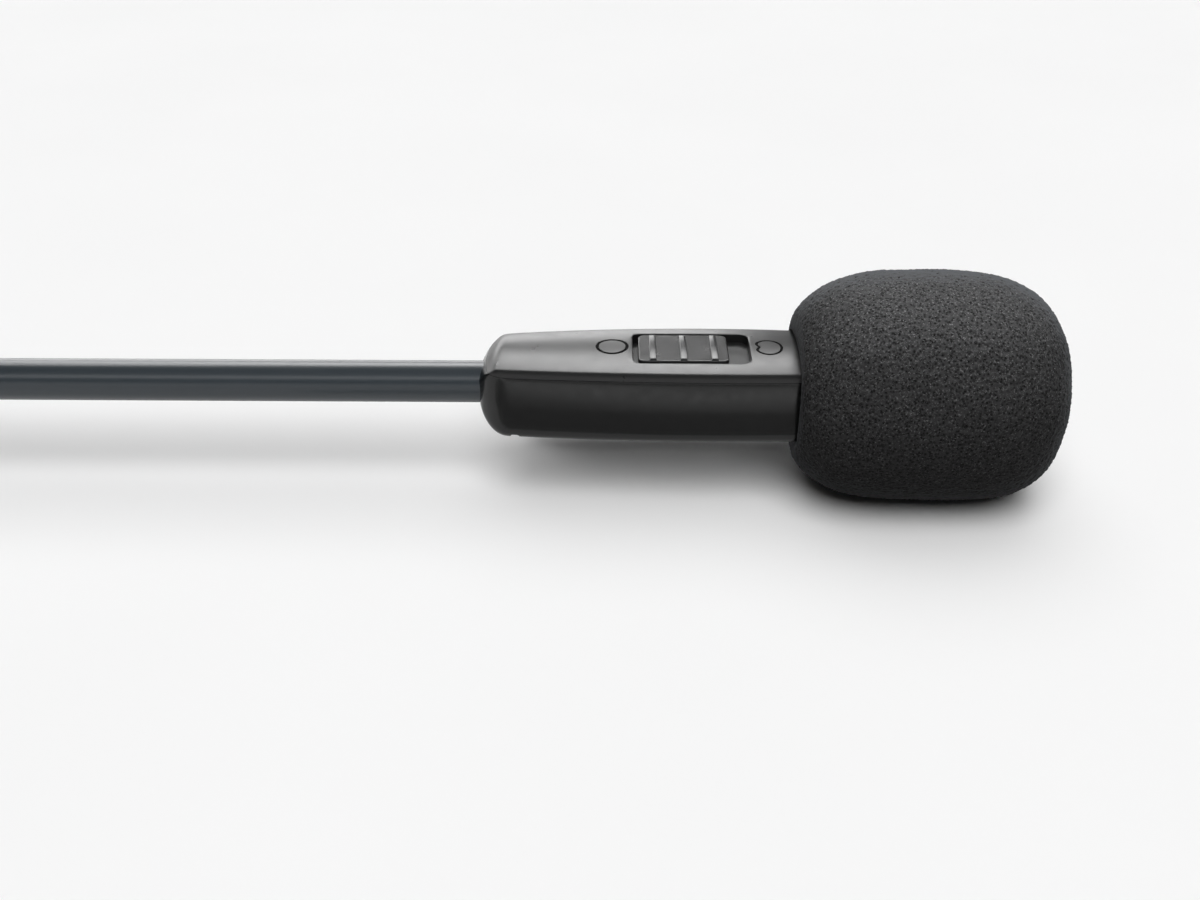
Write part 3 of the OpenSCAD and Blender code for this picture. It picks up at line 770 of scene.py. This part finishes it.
def build_sleeve():
    """One tube in lengths, one over each of the neck's joints, with a length of cable inside each. With both bends
    at their limits, rounding can throw the pivot of a bend far off and tear the neck; for such a length the order of
    the two bodies at its ends is reversed, though nothing here binds the lengths to those bodies."""
    hinges = sorted((j for j in frame["joints"] if j["name"].startswith("neck_")), key=lambda j: j["pos_m"][0])
    xs = [j["pos_m"][0] / MM for j in hinges]
    half = (xs[1] - xs[0]) / 2
    places = bent_places(hinges)
    cuts = [SLEEVE_LOW[0]] + [x + half for x in xs[:-1]] + [SLEEVE_HIGH[0]]
    for i, joint in enumerate(hinges):
        piece = tube_piece(f"sleeve_length_{i + 1:02d}", cuts[i], cuts[i + 1], NECK_R, NECK_R - 0.5)
        paint(piece, "neck_sleeve")
        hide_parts("neck_sleeve")
        ends = [(joint["parent"], ((xs[i] - half) * MM, 0, 0)), (joint["child"], ((xs[i] + half) * MM, 0, 0))]
        if pivot_reach(places[i], places[i + 1]) > 10 * pivot_reach(places[i + 1], places[i]):
            ends.reverse()
        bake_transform(piece)
        cable = tube_piece(f"cable_length_{i + 1:02d}", cuts[i], cuts[i + 1], 0.85, 0.4, sides=16, step=1.1)
        paint(cable, "cable_black")
        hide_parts("neck_cable")
        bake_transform(cable)


build_sleeve()

# ---------- Foam windscreen ----------

FOAM_R = 16.5
FOAM_DROP = 0.45
FOAM_REACH = 19.5
FOAM_MID = FRONT_X - 6.3 + FOAM_REACH
MOUTH_X = FRONT_X - 4.1
FOAM_BORE_R = 6.1


def section_radius(x, angle, room):
    """How far the housing's section reaches from the axis at an angle, with room added."""
    ring = section_ring(x)
    around = np.unwrap(np.arctan2(ring[:, 1], ring[:, 0]))
    order = np.argsort(around)
    reach = np.hypot(ring[:, 0], ring[:, 1])
    lifted = np.mod(angle - around[order][0], 2 * math.pi) + around[order][0]
    return np.interp(lifted, around[order], reach[order]) + room


def sag(x, angle):
    """How the soft ball differs from a turned one: flatter below, but fuller low at the front."""
    along = (x - FOAM_MID) / FOAM_REACH
    low = np.clip(-np.sin(angle), 0, 1) ** 2
    high = np.clip(np.sin(angle), 0, 1) ** 2
    front, rear = np.clip(along, 0, 1), np.clip(-along, 0, 1)
    return 1 + low * (0.18 * front ** 2 - 0.04) - 0.02 * high * rear


def foam_rings(count=220):
    """Rings from the tip back over the ball, round the soft lip, and into the blind bore."""
    angle = np.linspace(0, 2 * math.pi, count, endpoint=False)
    hug = section_radius(FRONT_X - 3, angle, 0.04)
    rings = []

    def ring(x, r, drop=0.0, ball=False):
        r = np.broadcast_to(r, angle.shape) * (sag(x, angle) if ball else 1)
        x = np.broadcast_to(x, angle.shape)
        rings.append(np.stack([x, r * np.cos(angle), r * np.sin(angle) - drop], 1))

    for a in np.radians(np.linspace(0.6, 90, 90)):
        ring(FOAM_MID + FOAM_REACH * math.cos(a) ** (2 / 3.0), FOAM_R * math.sin(a) ** (2 / 3.0), FOAM_DROP, True)
    lip_a = math.radians(31)
    for a in np.linspace(math.pi / 2, lip_a, 70)[1:]:
        ring(FOAM_MID - FOAM_REACH * math.cos(a) ** (2 / 3.1), FOAM_R * math.sin(a) ** (2 / 3.1), FOAM_DROP, True)
    lip_x = FOAM_MID - FOAM_REACH * math.cos(lip_a) ** (2 / 3.1)
    lip_r = FOAM_R * math.sin(lip_a) ** (2 / 3.1)
    for t in np.linspace(0, 1, 18)[1:]:
        bend = math.sin(t * math.pi / 2)
        fall = 1 - math.cos(t * math.pi / 2)
        bulge = -0.5 * math.sin(t * math.pi)
        ring(lip_x + bulge + (MOUTH_X - lip_x) * fall, lip_r + (hug - lip_r) * bend, FOAM_DROP * (1 - t))
    for x in np.linspace(MOUTH_X, FRONT_X, 10)[1:]:
        ring(x + 0.1, hug)
    ring(FRONT_X + 0.2, np.full(count, FOAM_BORE_R))
    for x in np.linspace(FRONT_X + 1, CAP_X + 0.4, 16):
        ring(x, np.full(count, FOAM_BORE_R))
    ring(CAP_X + 0.5, np.full(count, 0.5))
    return rings


def build_foam():
    foam = recalc(loft("foam_ball", foam_rings()))
    remesh = foam.modifiers.new("even", "REMESH")
    remesh.mode = "VOXEL"
    remesh.voxel_size = 0.26 * MM
    apply_modifiers(foam)
    mesh = foam.data
    count = len(mesh.vertices)
    co = np.empty(count * 3)
    nor = np.empty(count * 3)
    mesh.vertices.foreach_get("co", co)
    mesh.vertices.foreach_get("normal", nor)
    co, nor = co.reshape(-1, 3), nor.reshape(-1, 3)
    cell_mm = 0.62
    lumps = np.empty(count)
    for i in range(count):
        p = Vector(co[i] / MM)
        pit = noise.voronoi(p / cell_mm)[0][0]
        lumps[i] = 0.16 * (min(pit, 0.8) - 0.4) + 0.10 * noise.noise(p * 2.4) + 0.16 * noise.noise(p * 0.16)
    outside = np.hypot(co[:, 1], co[:, 2]) / MM > 10.0
    outside |= co[:, 0] / MM > CAP_X + 3
    near_mouth = (co[:, 0] / MM < MOUTH_X + 0.2)
    amount = np.where(outside, 1.0, np.where(near_mouth, 0.3, 0.0))
    co += nor * (lumps * amount * MM)[:, None]
    mesh.vertices.foreach_set("co", co.ravel())
    mesh.polygons.foreach_set("use_smooth", [True] * len(mesh.polygons))
    mesh.update()
    paint(foam, "foam")
    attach(foam, "windscreen")
    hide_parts("foam_windscreen")


build_foam()

# ---------- CAD nodes that stay ----------

EASED_EDGES = {
    "plug_shell": 0.15, "plug_insert": 0.2, "base_barrel": 0.12, "barrel_cap": 0.15, "strain_relief": 0.12,
    "contact_pins": 0.1, "grille_basket": 0.06, "grille_cap": 0.05, "plug_set_screw": 0.06, "housing_screws": 0.06,
}


def dress_nodes():
    slot_of = {s["node"]: s["material_slot"] for s in frame["record"]["subparts"]}
    for name, obj in NODES.items():
        if obj.hide_render:
            continue
        obj.data.materials.clear()
        obj.data.materials.append(MATERIALS[slot_of[name]])
        if name in EASED_EDGES:
            mod = obj.modifiers.new("eased_edges", "BEVEL")
            mod.width = EASED_EDGES[name] * MM
            mod.segments = 2
            mod.limit_method = "ANGLE"
            mod.angle_limit = math.radians(40)
            mod.harden_normals = False


dress_nodes()

# ---------- Floor, light and camera ----------


def lowest_z():
    """The foam ball's lowest point, on which the head rests."""
    return min(v.co.z for v in bpy.data.objects["foam_ball"].data.vertices) / MM


def build_floor():
    z = lowest_z() - 0.05
    far = 4000
    floor = new_object("floor", [(-far, -far, z), (far, -far, z), (far, far, z), (-far, far, z)], [(0, 1, 2, 3)])
    floor.data.materials.append(floor_material())


def softbox(name, azimuth, elevation, distance, size, radiance):
    """A rectangular area light round the head, seen in reflections only: azimuth 0 is at the front, 180 behind."""
    data = bpy.data.lights.new(name, "AREA")
    data.shape = "RECTANGLE"
    data.size, data.size_y = size[0] * MM, size[1] * MM
    data.energy = radiance * math.pi * data.size * data.size_y
    light = bpy.data.objects.new(name, data)
    bpy.context.scene.collection.objects.link(light)
    az, el = math.radians(azimuth), math.radians(elevation)
    target = Vector((REAR_X + 30, 0, 0))
    away = Vector((math.sin(az) * math.cos(el), -math.cos(az) * math.cos(el), math.sin(el)))
    light.location = (target + away * distance) * MM
    light.rotation_euler = (-away).to_track_quat("-Z", "Y").to_euler()
    light.visible_diffuse = False


def key_light(name, elevation, azimuth, spread, strength):
    """An even, soft light from far above, seen by matt surfaces only."""
    data = bpy.data.lights.new(name, "SUN")
    data.energy = strength
    data.angle = math.radians(spread)
    light = bpy.data.objects.new(name, data)
    bpy.context.scene.collection.objects.link(light)
    az, el = math.radians(azimuth), math.radians(elevation)
    away = Vector((math.sin(az) * math.cos(el), -math.cos(az) * math.cos(el), math.sin(el)))
    light.location = away
    light.rotation_euler = (-away).to_track_quat("-Z", "Y").to_euler()
    light.visible_glossy = False


# The card's brightness by its distance from the neck's axis.
CARD_STOPS = (
    (-22, 0.12), (-40.5, 0.12), (-42.5, 0.45), (-44.5, 0.95), (-46.5, 0.75), (-48.5, 0.22), (-52, 0.10), (-62, 0.11),
)


def build_light():
    world = bpy.data.worlds.new("studio")
    world.use_nodes = True
    tree = world.node_tree
    path = tree.nodes.new("ShaderNodeLightPath")
    level = tree.nodes.new("ShaderNodeMapRange")
    level.inputs["To Min"].default_value = 0.03
    level.inputs["To Max"].default_value = 0.94
    tree.links.new(path.outputs["Is Camera Ray"], level.inputs["Value"])
    tree.nodes["Background"].inputs["Color"].default_value = (1, 1, 1, 1)
    tree.links.new(level.outputs["Result"], tree.nodes["Background"].inputs["Strength"])
    bpy.context.scene.world = world
    key_light("key", 60, 0, 44, 2.33)
    key_light("top_fill", 70, 180, 60, 1.15)
    softbox("front_panel", 0, 44, 600, (1400, 130), 2.6)
    softbox("front_low_panel", 0, 5, 600, (1400, 110), 1.2)
    softbox("left_low_panel", 238, 6, 700, (460, 300), 2.6)
    softbox("back_low_panel", 196, 12, 700, (560, 200), 4.5)
    softbox("back_high_panel", 180, 41.5, 700, (1300, 155), 9.5)
    softbox("back_top_left_panel", 205, 52.5, 700, (590, 115), 9.5)
    softbox("back_top_right_panel", 157, 52.5, 700, (510, 115), 3.2)


def build_card():
    """A graded card lying in front of the head, seen only in reflections, which shades the housing's side."""
    near, far = -20.0, -62.0
    z = lowest_z() + 0.2
    left, right = REAR_X - 30, FRONT_X + 4
    corners = [(left, far, z), (right, far, z), (right, near, z), (left, near, z)]
    card = new_object("card", corners, [(0, 1, 2, 3)])
    m = Nodes("card")
    across = m.add("ShaderNodeVectorMath", operation="DOT_PRODUCT")
    m.join(m.place, across.inputs[0])
    across.inputs[1].default_value = (-0.025, 1, 0)
    offset = (near - 0.025 * (REAR_X + 12)) * MM
    along = m.math("DIVIDE", m.math("SUBTRACT", across.outputs["Value"], offset), (far - near) * MM)
    stops = [((near - y) / (near - far), value) for y, value in CARD_STOPS]
    m.set(Base_Color=(0, 0, 0), Specular_IOR_Level=0.0, Emission_Color=m.ramp(along, stops), Emission_Strength=3.0)
    card.data.materials.append(m.material)
    for kind in ("camera", "diffuse", "transmission", "volume_scatter", "shadow"):
        setattr(card, "visible_" + kind, False)


def build_flag():
    """A black flag behind the head's underside, never seen itself, which keeps light from behind off the floor."""
    low = lowest_z()
    x1, top = FRONT_X - 2, -BELLY - 0.3
    corners = [(REAR_X + 3, 13.6, low), (x1, 13.6, low), (x1, 10.0, top), (REAR_X + 13, 10.0, top)]
    flag = new_object("flag", corners, [(0, 1, 2, 3)])
    m = Nodes("flag")
    split = m.add("ShaderNodeSeparateXYZ")
    m.join(m.place, split.inputs[0])
    rise = m.math("DIVIDE", m.math("SUBTRACT", split.outputs["Z"], low * MM), (top - low) * MM)
    m.set(Base_Color=(0, 0, 0), Specular_IOR_Level=0.0, Alpha=m.ramp(rise, [(0.02, 0.0), (0.4, 1.0)]))
    flag.data.materials.append(m.material)
    flag.visible_camera = False


def build_camera():
    """The camera looks down on the head from the front, level with the middle of the housing."""
    pitch, yaw, roll = math.radians(31.54), math.radians(-0.797), math.radians(-0.086)
    place = Vector((REAR_X + 19.437, -162.295, 88.226))
    ahead = Vector((math.sin(yaw) * math.cos(pitch), math.cos(yaw) * math.cos(pitch), -math.sin(pitch)))
    right = Vector((math.cos(yaw), -math.sin(yaw), 0))
    up = right.cross(ahead)
    right, up = math.cos(roll) * right + math.sin(roll) * up, math.cos(roll) * up - math.sin(roll) * right
    data = bpy.data.cameras.new("camera")
    data.sensor_width = 36
    data.lens = 38.79
    data.clip_start = 0.005
    data.clip_end = 30
    camera = bpy.data.objects.new("camera", data)
    bpy.context.scene.collection.objects.link(camera)
    turn = Matrix((right, up, -ahead)).transposed().to_4x4()
    camera.matrix_world = Matrix.Translation(place * MM) @ turn
    bpy.context.scene.camera = camera


build_floor()
build_light()
build_card()
build_flag()
build_camera()
bpy.context.scene.view_settings.view_transform = "Standard"
